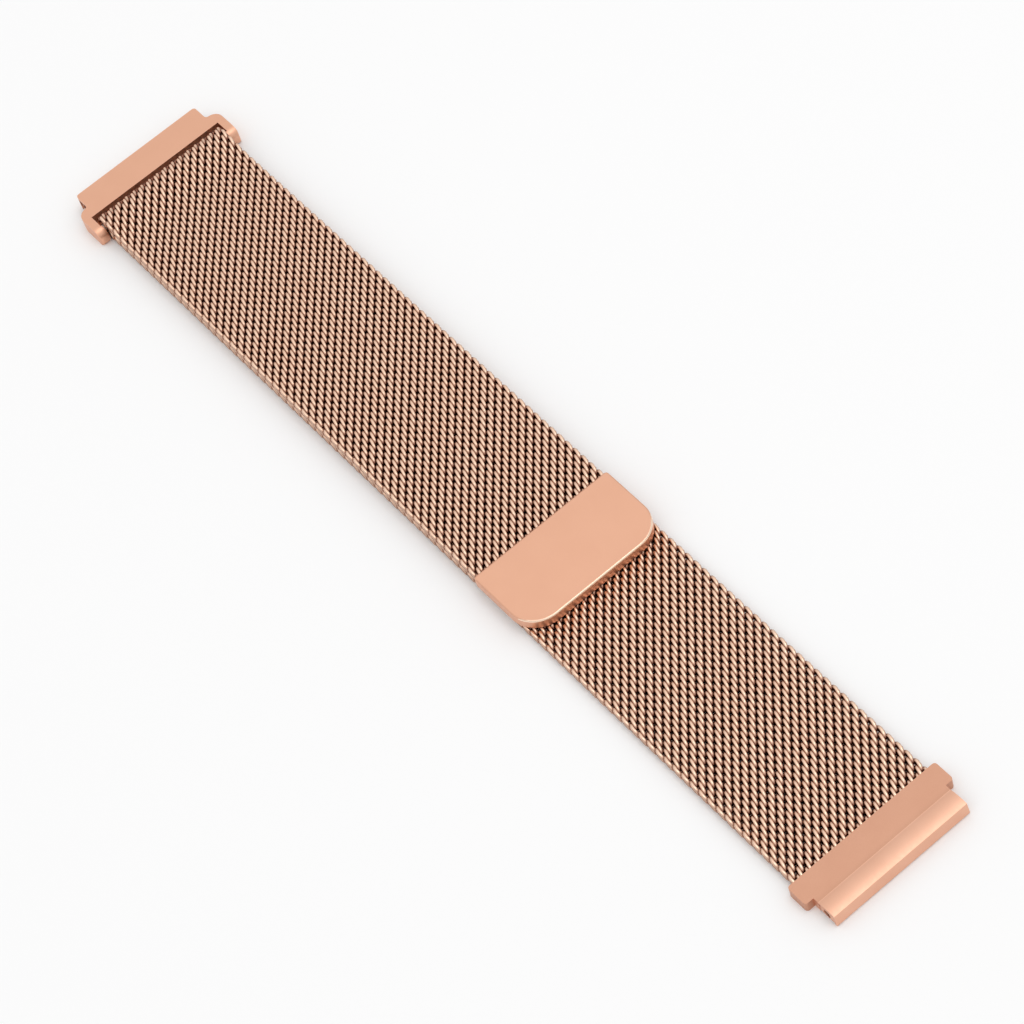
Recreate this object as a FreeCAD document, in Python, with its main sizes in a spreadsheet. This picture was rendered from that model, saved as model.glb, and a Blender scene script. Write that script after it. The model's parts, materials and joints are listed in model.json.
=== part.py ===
import FreeCAD, Part
import os

import Sketcher
from FreeCAD import Placement, Rotation, Vector

# Woven-mesh watch strap with a magnetic clasp, lying flat.
# +X runs along the strap to its fixed end, +Y across it, +Z up. The origin is under the middle of the
# strap, on the surface that it lies on. Lengths are in millimetres and angles in degrees.

SIZES = {
    # whole strap
    "overall_length": 164.0,
    "lug_width": 21.8,
    "bore_radius": 0.77,
    "tube_radius": 0.88,
    "tube_inset": 0.1,
    "sheet": 0.5,
    "floor_margin": 0.3,
    "cut_overrun": 1.0,
    # woven mesh: one band folded in two, the flap lying on the under strand
    "mesh_width": 22.4,
    "mesh_thickness": 1.2,
    "mesh_lift": 0.25,
    "strand_gap": 0.15,
    "bend_angle": 40.0,
    "back_bend_angle": 15.0,
    "end_gap": 0.15,
    "lean_clearance": 0.06,
    # loop end
    "crossbar_radius": 0.45,
    "fold_clearance": 0.05,
    "crossbar_setback": 7.3,
    "crossbar_seat_depth": 0.9,
    "loop_plate_depth": 5.0,
    "loop_height": 2.6,
    "loop_floor": 0.28,
    "loop_tube_setback": 1.9,
    "loop_wing_start": 3.0,
    "loop_wing_end": 8.6,
    "loop_wing_width": 25.6,
    "loop_slot_width": 23.2,
    "loop_slot_depth": 2.3,
    "loop_grip_width": 22.7,
    "loop_corner": 1.35,
    "hump_length": 6.5,
    "hump_crest": 1.6,
    "hump_crest_drop": 0.2,
    # fixed end
    "fixed_end_depth": 7.5,
    "fixed_slack": 0.4,
    "fixed_plateau_depth": 4.3,
    "fixed_plateau_height": 1.85,
    "fixed_plateau_edge": 0.4,
    "fixed_crease_height": 1.7,
    "fixed_shoulder_run": 0.7,
    "fixed_shoulder_rise": 0.42,
    "fixed_crown_height": 2.3,
    "fixed_crown_setback": 1.85,
    "fixed_edge_setback": 0.35,
    "fixed_edge_height": 2.15,
    "fixed_tube_setback": 1.8,
    "fixed_wing_width": 24.4,
    "fixed_wing_length": 3.4,
    "fixed_wing_cut_along": 0.2,
    "fixed_wing_cut_across": 0.4,
    "fixed_cavity_depth": 2.9,
    "fixed_floor": 0.22,
    "fixed_slot_side_gap": 0.1,
    "fixed_slot_head_gap": 0.05,
    "fixed_channel_setback": 0.1,
    # magnetic clasp
    "clasp_rear": 12.0,
    "clasp_length": 12.3,
    "clasp_width": 23.0,
    "clasp_lift": 1.5,
    "clasp_height": 1.6,
    "clasp_corner": 4.4,
    "clasp_skin": 0.3,
    "clasp_floor": 0.25,
    "clasp_wall": 0.6,
    "clasp_clamp_depth": 3.4,
    "clasp_rear_slack": 0.7,
    "clasp_front_slack": 0.4,
    "clasp_base_clearance": 0.02,
    # bars that hold the mesh's ends
    "clamp_margin": 0.3,
    "clamp_depth_gap": 0.1,
    # magnets
    "magnet_gap": 0.2,
    "magnet_length": 4.6,
    "magnet_width": 4.6,
    "magnet_height": 0.72,
    "magnet_pitch": 5.3,
    "yoke_height": 0.2,
}
MAGNET_COUNT = 4
# Plain stretches of mesh between two bends: in the flap, and in the under strand beyond the clasp.
FLAP_SEGMENTS = 4
FRONT_SEGMENTS = 2
UNDER_SEGMENTS = FLAP_SEGMENTS + 1 + FRONT_SEGMENTS

# Sizes that follow from the ones above, in the order in which they depend on each other.
DERIVED = {
    "half_length": "overall_length / 2",
    "mesh_top": "mesh_lift + mesh_thickness",
    "hinge_height": "mesh_lift + mesh_thickness / 2",
    "flap_bottom": "mesh_top + strand_gap",
    "flap_top": "flap_bottom + mesh_thickness",
    "fold_inner": "crossbar_radius + fold_clearance",
    "fold_outer": "fold_inner + mesh_thickness",
    "bar_height": "mesh_lift + fold_outer",
    "bar_place": "crossbar_setback - half_length",
    "fixed_rear": "half_length - fixed_end_depth",
    "fixed_pivot": "fixed_rear - fixed_slack",
    "fixed_plateau_end": "fixed_rear + fixed_plateau_depth",
    "clasp_front": "clasp_rear + clasp_length",
    "clasp_inside": "clasp_lift + clasp_floor",
    "clasp_top": "clasp_lift + clasp_height",
    "clasp_ceiling": "clasp_top - clasp_skin",
    "rear_pivot": "clasp_rear - clasp_rear_slack",
    "front_pivot": "clasp_front + clasp_front_slack",
    "crossbar_length": "loop_slot_width + 2 * crossbar_seat_depth",
    "tube_length": "lug_width - 2 * tube_inset",
    "fixed_cavity_end": "fixed_rear + fixed_cavity_depth",
    "clamp_half_width": "mesh_width / 2 - clamp_margin",
    # how far a strand's end leans back at its underside, its top and the flap's top, so that bent
    # neighbours clear each other
    "lean_gap": "end_gap + lean_clearance",
    "bend_slope": "tan(bend_angle / 2 * 1 deg)",
    "back_slope": "tan(back_bend_angle / 2 * 1 deg)",
    "underside_lean": "lean_gap + mesh_thickness / 2 * bend_slope",
    "top_lean": "lean_gap + mesh_thickness / 2 * back_slope",
    "flap_low_lean": "lean_gap + (flap_bottom - hinge_height) * back_slope",
    "flap_high_lean": "lean_gap + (flap_top - hinge_height) * back_slope",
}


def pivot_formulas():
    """Where the under strand bends: at the crossbar, evenly up to the clasp, at the clasp's front, evenly
    up to the fixed end, and at the fixed end."""
    formulas = []
    for i in range(FLAP_SEGMENTS):
        formulas.append(f"bar_place + (rear_pivot - bar_place) * {i} / {FLAP_SEGMENTS}")
    formulas.append("rear_pivot")
    for i in range(FRONT_SEGMENTS):
        formulas.append(f"front_pivot + (fixed_pivot - front_pivot) * {i} / {FRONT_SEGMENTS}")
    formulas.append("fixed_pivot")
    return formulas


def make_sheet(doc):
    """The driving dimensions, one named cell each, then the formulas that use them."""
    sheet = doc.addObject("Spreadsheet::Sheet", "Sizes")
    cells = {name: str(value) for name, value in SIZES.items()}
    cells.update({name: "=" + formula for name, formula in DERIVED.items()})
    cells.update({f"pivot_{i}": "=" + formula for i, formula in enumerate(pivot_formulas())})
    for row, (name, value) in enumerate(cells.items(), start=1):
        sheet.set(f"A{row}", name)
        sheet.set(f"B{row}", value)
        sheet.setAlias(f"B{row}", name)
    doc.recompute()
    return sheet


class Model:
    """The document, its sheet, and the ways in which the sub-parts are made."""

    def __init__(self):
        self.doc = FreeCAD.newDocument("mesh_strap")
        self.sheet = make_sheet(self.doc)
        self.names = {*SIZES, *DERIVED}
        self.parts = []

    def formula(self, text):
        """A formula of sizes with each name written as a cell of the sheet."""
        out = []
        word = ""
        for letter in text + " ":
            if letter.isalnum() or letter in "_.":
                word += letter
                continue
            named = word in self.names or word.startswith("pivot_")
            out.append("Sizes." + word if named else word)
            out.append(letter)
            word = ""
        return "".join(out).strip()

    def bind(self, thing, prop, text):
        thing.setExpression(prop, self.formula(text))

    def value(self, text):
        return float(self.sheet.evalExpression(self.formula(text)))

    def keep(self, thing):
        """Marks an object as a sub-part of its own."""
        self.parts.append(thing)
        return thing

    def body(self, label):
        body = self.doc.addObject("PartDesign::Body", label)
        body.Label = label
        return body

    def sketch(self, body, name, role):
        """An empty sketch on one of the body's own origin planes."""
        sketch = body.newObject("Sketcher::SketchObject", name)
        plane = next(f for f in body.Origin.OriginFeatures if f.Role == role)
        sketch.AttachmentSupport = [(plane, "")]
        sketch.MapMode = "FlatFace"
        return sketch

    def outline(self, sketch, corners):
        """Adds a closed outline through corners, pairs of formulas that its dimensions are bound to."""
        first = sketch.GeometryCount
        points = [Vector(self.value(a), self.value(b), 0) for a, b in corners]
        count = len(points)
        for i, point in enumerate(points):
            sketch.addGeometry(Part.LineSegment(point, points[(i + 1) % count]), False)
        for i in range(count):
            after = first + (i + 1) % count
            sketch.addConstraint(Sketcher.Constraint("Coincident", first + i, 2, after, 1))
        for i, (point, corner) in enumerate(zip(points, corners)):
            for kind, number, text in zip(("DistanceX", "DistanceY"), point, corner):
                dimension = Sketcher.Constraint(kind, -1, 1, first + i, 1, number)
                index = sketch.addConstraint(dimension)
                self.bind(sketch, f"Constraints[{index}]", text)

    def circle(self, sketch, centre, radius):
        """Adds a circle whose centre and radius are bound to formulas."""
        place = Vector(self.value(centre[0]), self.value(centre[1]), 0)
        shape = Part.Circle(place, Vector(0, 0, 1), self.value(radius))
        index = sketch.addGeometry(shape)
        for kind, text in zip(("DistanceX", "DistanceY"), centre):
            dimension = Sketcher.Constraint(kind, -1, 1, index, 3, self.value(text))
            self.bind(sketch, f"Constraints[{sketch.addConstraint(dimension)}]", text)
        dimension = Sketcher.Constraint("Radius", index, self.value(radius))
        self.bind(sketch, f"Constraints[{sketch.addConstraint(dimension)}]", radius)

    def pad(self, body, sketch, name, length, symmetric=True):
        feature = body.newObject("PartDesign::Pad", name)
        feature.Profile = sketch
        if symmetric:
            feature.SideType = "Symmetric"
        self.bind(feature, "Length", length)
        self.doc.recompute()
        return feature

    def pocket(self, body, sketch, name, length, symmetric=True, reverse=False):
        """A pocket, with a test that it removes material."""
        self.doc.recompute()
        before = body.Shape.Volume
        feature = body.newObject("PartDesign::Pocket", name)
        feature.Profile = sketch
        if symmetric:
            feature.SideType = "Symmetric"
        feature.Reversed = reverse
        self.bind(feature, "Length", length)
        self.doc.recompute()
        if body.Shape.Volume > before - 1e-6:
            raise RuntimeError(f"{name} removes nothing")
        return feature

    def fillet(self, body, name, radius, wanted):
        """Rounds the edges of the body's last feature for which wanted(edge) is true."""
        self.doc.recompute()
        base = body.Tip
        edges = [f"Edge{i + 1}" for i, edge in enumerate(base.Shape.Edges) if wanted(edge)]
        if not edges:
            raise RuntimeError(f"{name} found no edge")
        feature = body.newObject("PartDesign::Fillet", name)
        feature.Base = (base, edges)
        self.bind(feature, "Radius", radius)
        self.doc.recompute()
        return feature

    def side_body(self, label, corners, width):
        """A body whose side outline in XZ is padded evenly to both sides of the strap's middle."""
        body = self.body(label)
        sketch = self.sketch(body, label + "_outline", "XZ_Plane")
        self.outline(sketch, corners)
        self.pad(body, sketch, label + "_pad", width)
        return body

    def box(self, label, low, high):
        """A box from the corner low to the corner high, both given as formulas."""
        box = self.doc.addObject("Part::Box", label)
        box.Label = label
        for prop, axis, start, end in zip(("Length", "Width", "Height"), "xyz", low, high):
            self.bind(box, prop, f"({end}) - ({start})")
            self.bind(box, f".Placement.Base.{axis}", start)
        return box

    def rod(self, label, radius, length, centre):
        """A cylinder along Y, centred on the strap's middle, whose axis passes through centre (x, z)."""
        rod = self.doc.addObject("Part::Cylinder", label)
        rod.Label = label
        self.bind(rod, "Radius", radius)
        self.bind(rod, "Height", length)
        rod.Placement = Placement(Vector(), Rotation(Vector(1, 0, 0), -90))
        self.bind(rod, ".Placement.Base.x", centre[0])
        self.bind(rod, ".Placement.Base.y", f"0 - ({length}) / 2")
        self.bind(rod, ".Placement.Base.z", centre[1])
        return rod

    def cut(self, label, base, tool):
        feature = self.doc.addObject("Part::Cut", label)
        feature.Label = label
        feature.Base = base
        feature.Tool = tool
        return feature

    def tube(self, label, centre):
        """A rolled tube along Y for a watch's spring bar, its axis through centre (x, z)."""
        outside = self.rod(label + "_outside", "tube_radius", "tube_length", centre)
        bore = self.rod(label + "_bore", "bore_radius", "tube_length + cut_overrun", centre)
        return self.cut(label, outside, bore)


def mirrored(side):
    """The same corners on the other side of the strap's middle, in the order that closes the outline."""
    return [(along, f"0 - ({across})") for along, across in reversed(side)]


def runs_along(edge, axis):
    """Whether a straight edge is parallel to X, Y or Z."""
    box = edge.BoundBox
    spans = {"X": box.XLength, "Y": box.YLength, "Z": box.ZLength}
    return spans[axis] > 0.05 and sum(spans.values()) - spans[axis] < 1e-4


# Woven mesh

def build_under_strand(model):
    """Plain segments of the under strand, one for each stretch between two bends. Each end leans away
    above and below the hinge."""
    for i in range(UNDER_SEGMENTS):
        start, end = f"pivot_{i}", f"pivot_{i + 1}"
        corners = [
            (f"{start} + top_lean", "mesh_top"),
            (f"{end} - top_lean", "mesh_top"),
            (f"{end} - end_gap", "hinge_height"),
            (f"{end} - underside_lean", "mesh_lift"),
            (f"{start} + underside_lean", "mesh_lift"),
            (f"{start} + end_gap", "hinge_height"),
        ]
        if i == 0:
            corners[0] = (start, "mesh_top")
            corners[4:] = [(start, "mesh_lift")]
        model.keep(model.side_body(f"under_mesh_{i + 1}", corners, "mesh_width"))


def build_flap(model):
    """Plain segments of the flap over the under strand's, with the hump where it leaves the crossbar."""
    for i in range(FLAP_SEGMENTS):
        start, end = f"pivot_{i}", f"pivot_{i + 1}"
        corners = [
            (f"{end} - flap_high_lean", "flap_top"),
            (f"{end} - flap_low_lean", "flap_bottom"),
            (f"{start} + flap_low_lean", "flap_bottom"),
            (f"{start} + flap_high_lean", "flap_top"),
        ]
        if i == 0:
            corners[2:] = [
                (f"{start} + hump_length", "flap_bottom"),
                (f"{start} + end_gap", "bar_height + fold_inner"),
                (f"{start} + end_gap", "bar_height + fold_outer"),
                (f"{start} + hump_crest", "bar_height + fold_outer - hump_crest_drop"),
                (f"{start} + hump_length", "flap_top"),
            ]
        model.keep(model.side_body(f"flap_mesh_{i + 1}", corners, "mesh_width"))


def build_fold(model):
    """The quarter turn of mesh under the crossbar. The rest of the turn belongs to whichever strand is
    lifted, so it is left open here."""
    quarter = []
    for name, radius in (("outside", "fold_outer"), ("inside", "fold_inner")):
        rod = model.rod("fold_mesh_" + name, radius, "mesh_width", ("bar_place", "bar_height"))
        if name == "outside":
            rod.Angle = 90
            rod.Placement = Placement(Vector(), Rotation(Vector(0, 1, 0), 90) * rod.Placement.Rotation)
        quarter.append(rod)
    model.keep(model.cut("fold_mesh", *quarter))


# Loop end

def build_loop_end(model):
    """The plate and its two wings, hollow under the plate, with floor, spring-bar tube and crossbar."""
    outer = "0 - half_length"
    plate_end = "loop_plate_depth - half_length"
    wing_start = "loop_wing_start - half_length"
    wing_end = "loop_wing_end - half_length"
    body = model.body("loop_end_cover")
    plan = model.sketch(body, "loop_end_plan", "XY_Plane")
    slot_end = f"{plate_end} + loop_slot_depth"
    half_lug, half_wing = "lug_width / 2", "loop_wing_width / 2"
    half_slot, half_grip = "loop_slot_width / 2", "loop_grip_width / 2"
    side = [
        (outer, half_lug),
        (wing_start, half_lug),
        (wing_start, half_wing),
        (wing_end, half_wing),
        (wing_end, half_grip),
        (slot_end, half_grip),
        (slot_end, half_slot),
        (plate_end, half_slot),
    ]
    model.outline(plan, side + mirrored(side))
    model.pad(body, plan, "loop_end_pad", "loop_height", symmetric=False)
    hollow = model.sketch(body, "loop_end_hollow", "XZ_Plane")
    left, right = "sheet - half_length", "loop_plate_depth - sheet - half_length"
    ceiling = "loop_height - sheet"
    model.outline(hollow, [(left, "0"), (right, "0"), (right, ceiling), (left, ceiling)])
    model.pocket(body, hollow, "loop_end_pocket", "lug_width + cut_overrun")
    seats = model.sketch(body, "crossbar_seats", "XZ_Plane")
    model.circle(seats, ("bar_place", "bar_height"), "crossbar_radius")
    model.pocket(body, seats, "crossbar_seat_pockets", "crossbar_length")
    model.fillet(
        body,
        "loop_end_round",
        "loop_corner",
        lambda edge: runs_along(edge, "Z")
        and abs(abs(edge.BoundBox.Center.y) - model.value(half_wing)) < 1e-3,
    )
    model.keep(body)
    model.keep(
        model.box(
            "loop_end_base",
            (left, "floor_margin - lug_width / 2", "0"),
            (right, "lug_width / 2 - floor_margin", "loop_floor"),
        )
    )
    model.keep(
        model.tube("loop_end_tube", ("loop_tube_setback - half_length", "loop_floor + tube_radius"))
    )
    bar_centre = ("bar_place", "bar_height")
    model.keep(model.rod("loop_crossbar", "crossbar_radius", "crossbar_length", bar_centre))


# Fixed end

def build_fixed_end(model):
    """The formed cover with plateau, wings, crowned tongue and lip, its floor, tube and clamp bar."""
    shoulder = "fixed_plateau_end + fixed_shoulder_run"
    shoulder_height = "fixed_crease_height + fixed_shoulder_rise"
    tongue_top = [
        ("fixed_rear", "fixed_plateau_height"),
        ("fixed_plateau_end - fixed_plateau_edge", "fixed_plateau_height"),
        ("fixed_plateau_end", "fixed_crease_height"),
        (shoulder, shoulder_height),
        ("half_length - fixed_crown_setback", "fixed_crown_height"),
        ("half_length - fixed_edge_setback", "fixed_edge_height"),
        ("half_length", "0"),
    ]
    body = model.side_body("fixed_end_cover", tongue_top + [("fixed_rear", "0")], "lug_width")
    wings = model.sketch(body, "fixed_end_wings", "XY_Plane")
    half = "fixed_wing_width / 2"
    side = [
        ("fixed_rear", f"{half} - fixed_wing_cut_across"),
        ("fixed_rear + fixed_wing_cut_along", half),
        ("fixed_rear + fixed_wing_length", half),
    ]
    model.outline(wings, side + mirrored(side))
    model.pad(body, wings, "fixed_end_wing_pad", "fixed_plateau_height", symmetric=False)
    mesh_slot = model.sketch(body, "fixed_end_mesh_slot", "XZ_Plane")
    below = "0 - cut_overrun"
    slot_start, slot_top = "fixed_rear - cut_overrun", "mesh_top + fixed_slot_head_gap"
    model.outline(
        mesh_slot,
        [
            (slot_start, below),
            ("fixed_cavity_end", below),
            ("fixed_cavity_end", slot_top),
            (slot_start, slot_top),
        ],
    )
    slot_width = "mesh_width + 2 * fixed_slot_side_gap"
    model.pocket(body, mesh_slot, "fixed_end_mesh_pocket", slot_width)
    channel = model.sketch(body, "fixed_end_channel", "XZ_Plane")
    back, front = "fixed_plateau_end + fixed_channel_setback", "half_length - sheet"
    model.outline(
        channel,
        [
            (back, below),
            (front, below),
            (front, "fixed_edge_height - sheet"),
            ("half_length - fixed_crown_setback", "fixed_crown_height - sheet"),
            (shoulder, f"{shoulder_height} - sheet"),
            (back, "fixed_crease_height - sheet"),
        ],
    )
    model.pocket(body, channel, "fixed_end_channel_pocket", "lug_width + cut_overrun")
    model.keep(body)
    model.keep(
        model.box(
            "fixed_end_base",
            ("fixed_rear", "0 - mesh_width / 2", "0"),
            ("fixed_cavity_end", "mesh_width / 2", "fixed_floor"),
        )
    )
    model.keep(
        model.box(
            "fixed_end_clamp_bar",
            ("fixed_rear + clamp_margin", "0 - clamp_half_width", "mesh_lift"),
            ("fixed_cavity_end - clamp_depth_gap", "clamp_half_width", "mesh_top"),
        )
    )
    model.keep(model.tube("fixed_end_tube", ("half_length - fixed_tube_setback", "tube_radius")))


# Magnetic clasp

def build_clasp(model):
    """A shell open underneath, its floor, and the magnets, yoke and clamp bar inside."""
    half = "clasp_width / 2"
    body = model.body("clasp_cover")
    plan = model.sketch(body, "clasp_plan", "XY_Plane")
    raise_to(model, plan, "clasp_lift")
    side = [("clasp_rear", half), ("clasp_front", half)]
    model.outline(plan, side + mirrored(side))
    model.pad(body, plan, "clasp_pad", "clasp_height", symmetric=False)
    front = model.value("clasp_front")
    model.fillet(
        body,
        "clasp_front_corners",
        "clasp_corner",
        lambda edge: runs_along(edge, "Z") and abs(edge.BoundBox.Center.x - front) < 1e-3,
    )
    top = model.value("clasp_top")
    rear = model.value("clasp_rear")
    model.fillet(
        body,
        "clasp_soft_edge",
        "clasp_skin",
        lambda edge: abs(edge.BoundBox.ZMin - top) < 1e-4
        and edge.BoundBox.ZLength < 1e-4
        and edge.BoundBox.Center.x > rear + 1e-3,
    )
    hollow = model.sketch(body, "clasp_hollow", "XY_Plane")
    raise_to(model, hollow, "clasp_lift")
    model.outline(hollow, clasp_inside_plan("clasp_rear - cut_overrun", "0"))
    depth = "clasp_height - clasp_skin"
    model.pocket(body, hollow, "clasp_pocket", depth, symmetric=False, reverse=True)
    model.keep(body)
    base = model.body("clasp_base")
    floor = model.sketch(base, "clasp_base_plan", "XY_Plane")
    raise_to(model, floor, "clasp_lift")
    model.outline(floor, clasp_inside_plan("clasp_rear", "clasp_base_clearance"))
    model.pad(base, floor, "clasp_base_pad", "clasp_floor", symmetric=False)
    model.keep(base)
    clamp_end = "clasp_rear + clasp_clamp_depth"
    model.keep(
        model.box(
            "clasp_clamp_bar",
            ("clasp_rear + clamp_margin", "0 - clamp_half_width", "clasp_inside"),
            (clamp_end, "clamp_half_width", "clasp_ceiling"),
        )
    )
    build_magnets(model, f"{clamp_end} + magnet_gap")


def raise_to(model, sketch, height):
    """Lifts a sketch on the XY plane to a height."""
    sketch.AttachmentOffset = Placement(Vector(0, 0, model.value(height)), Rotation())
    model.bind(sketch, ".AttachmentOffset.Base.z", height)


def clasp_inside_plan(rear, clearance):
    """The plan of the clasp's hollow, its front corners cut off inside the cover's round ones."""
    side = f"clasp_width / 2 - clasp_wall - {clearance}"
    front = f"clasp_front - clasp_wall - {clearance}"
    shoulder = "clasp_front - clasp_corner"
    inset = "clasp_width / 2 - clasp_corner"
    half = [(rear, side), (shoulder, side), (front, inset)]
    return half + mirrored(half)


def build_magnets(model, start):
    """A row of block magnets on the clasp's floor, and the steel strip that lies over them."""
    end = f"{start} + magnet_length"
    magnet_top = "clasp_inside + magnet_height"
    blocks = []
    for i in range(MAGNET_COUNT):
        middle = f"magnet_pitch * {i - (MAGNET_COUNT - 1) / 2}"
        low = (start, f"{middle} - magnet_width / 2", "clasp_inside")
        high = (end, f"{middle} + magnet_width / 2", magnet_top)
        blocks.append(model.box(f"clasp_magnet_{i + 1}", low, high))
    row = model.doc.addObject("Part::Compound", "clasp_magnets")
    row.Label = "clasp_magnets"
    row.Links = blocks
    model.keep(row)
    half = f"magnet_pitch * {MAGNET_COUNT / 2}"
    low = (start, f"0 - {half}", magnet_top)
    high = (end, half, f"{magnet_top} + yoke_height")
    model.keep(model.box("clasp_yoke", low, high))


def check(model):
    """Stops if any object failed to recompute, or a sub-part's shape is empty or not valid."""
    for thing in model.doc.Objects:
        if "Invalid" in thing.State or "Error" in thing.State:
            raise RuntimeError(f"{thing.Label} failed: {thing.State}")
    for part in model.parts:
        shape = part.Shape
        if shape.isNull() or not shape.isValid() or not shape.Solids:
            raise RuntimeError(f"{part.Label} has no valid solid")


def main():
    model = Model()
    build_under_strand(model)
    build_flap(model)
    build_fold(model)
    build_loop_end(model)
    build_fixed_end(model)
    build_clasp(model)
    model.doc.recompute()
    check(model)
    os.makedirs("parts", exist_ok=True)
    for part in model.parts:
        part.Shape.exportStep(f"parts/{part.Label}.step")
        box = part.Shape.BoundBox
        sides = [round(v, 2) for v in (box.XMin, box.XMax, box.YMin, box.YMax, box.ZMin, box.ZMax)]
        solids = len(part.Shape.Solids)
        print(f"{part.Label:22s} {part.Shape.Volume:9.3f} mm3  {solids} solid(s)", sides)


main()
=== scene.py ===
import json
import logging
import math
from dataclasses import dataclass, field
from enum import Enum
from functools import partial
from typing import Any, Sequence

import bmesh
import bpy
from mathutils import Matrix, Vector

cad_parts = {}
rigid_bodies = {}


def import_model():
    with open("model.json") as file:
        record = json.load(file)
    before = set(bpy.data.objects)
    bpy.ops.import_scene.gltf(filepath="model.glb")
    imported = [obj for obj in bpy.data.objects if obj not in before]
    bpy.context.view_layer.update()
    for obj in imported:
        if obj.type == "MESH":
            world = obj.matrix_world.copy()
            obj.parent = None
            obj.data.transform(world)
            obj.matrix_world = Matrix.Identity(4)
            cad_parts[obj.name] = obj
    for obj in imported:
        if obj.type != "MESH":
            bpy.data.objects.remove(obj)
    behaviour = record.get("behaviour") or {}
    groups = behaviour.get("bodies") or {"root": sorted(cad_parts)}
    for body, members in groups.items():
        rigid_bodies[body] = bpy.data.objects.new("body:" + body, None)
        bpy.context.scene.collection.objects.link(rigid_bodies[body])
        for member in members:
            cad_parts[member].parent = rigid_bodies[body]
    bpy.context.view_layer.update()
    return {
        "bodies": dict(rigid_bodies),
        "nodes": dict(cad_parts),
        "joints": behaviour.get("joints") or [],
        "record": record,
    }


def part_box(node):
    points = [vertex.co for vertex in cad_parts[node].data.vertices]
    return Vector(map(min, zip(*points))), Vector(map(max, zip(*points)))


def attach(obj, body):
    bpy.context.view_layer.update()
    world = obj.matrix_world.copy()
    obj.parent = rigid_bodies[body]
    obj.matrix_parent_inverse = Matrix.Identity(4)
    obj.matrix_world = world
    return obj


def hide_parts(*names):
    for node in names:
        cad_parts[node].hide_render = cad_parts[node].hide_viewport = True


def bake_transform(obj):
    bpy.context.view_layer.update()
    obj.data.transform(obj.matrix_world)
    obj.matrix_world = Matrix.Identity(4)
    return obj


# Looks of a woven-wire watch strap with a magnetic clasp, in metres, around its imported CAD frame.
#
# +X runs along the strap to its fixed end, +Y across it and +Z up. The band is woven from
# flattened wire spirals that lie across the strap. It starts in the fixed end, runs under, turns
# round the loop end's crossbar and comes back on top to the clasp.

LOG = logging.getLogger("mesh_strap")
MM = 0.001
DRIFT = 4.0 * MM  # width of a patch where the plating is a shade deeper
GRAIN_LOW, GRAIN_HIGH = 0.3, 0.7  # the noise values between which nearly all of the grain lies
OVERRUN = 1.0 * MM  # how far a cutting solid reaches past what it cuts
TUCK = 0.5 * MM  # how far the band goes in under a cover
EDGE_ROUND = 0.12 * MM  # rounding of a formed sheet's edges
ROUND_FACES = 3  # faces across that rounding
ROUND_ANGLE = 35.0  # edges sharper than this many degrees are rounded
CORNER_STEPS = 5  # straight pieces in a small corner
LONG_STEPS = 16  # straight pieces in a large round stretch
HOLE_STEPS = 24  # straight pieces round a hole
SAME_HEIGHT = 0.0001 * MM  # points closer than this in height lie in one face
UNDER_BODIES, FLAP_BODIES = 7, 4  # segments of the CAD model's two strands
Point = tuple[float, float]
Formula = Sequence[tuple[str, str, str, str | float | None]]


# ---------------------------------------------------------------- colours and node helpers


def linear(hex_colour: str) -> tuple[float, float, float, float]:
    """Turns an sRGB hex colour into linear light.

    Args:
        hex_colour: Six hex digits after a #.

    Returns:
        Red, green, blue and an alpha of 1.
    """
    parts = [int(hex_colour[i : i + 2], 16) / 255 for i in (1, 3, 5)]
    light = [c / 12.92 if c <= 0.04045 else ((c + 0.055) / 1.055) ** 2.4 for c in parts]
    return (*light, 1.0)


def add_node(
    tree: bpy.types.NodeTree,
    kind: str,
    settings: dict[str, Any] | None = None,
    inputs: dict[str | int, Any] | None = None,
) -> bpy.types.Node:
    """Adds a node with its settings and links.

    Args:
        tree: The node tree to add it to.
        kind: The node's type name.
        settings: Properties of the node itself.
        inputs: Value of each input socket, or the output socket that is linked to it.

    Returns:
        The new node.
    """
    node = tree.nodes.new(kind)
    for name, value in (settings or {}).items():
        setattr(node, name, value)
    for key, value in (inputs or {}).items():
        socket = node.inputs[key]
        if isinstance(value, bpy.types.NodeSocket):
            tree.links.new(value, socket)
        else:
            socket.default_value = value
    return node


def compute(
    tree: bpy.types.NodeTree, values: dict[str, bpy.types.NodeSocket], formula: Formula
) -> None:
    """Adds a math node for each line of a formula.

    Args:
        tree: The node tree.
        values: Output sockets by name, which takes up each line's result.
        formula: Lines of the result's name, the operation and the one or two values, each a name
            or a number, that it works on.
    """
    for result, operation, first, second in formula:
        inputs: dict[str | int, Any] = {0: values[first]}
        if second is not None:
            inputs[1] = values[second] if isinstance(second, str) else second
        node = add_node(tree, "ShaderNodeMath", {"operation": operation}, inputs)
        values[result] = node.outputs["Value"]


# ---------------------------------------------------------------- finishes


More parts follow.
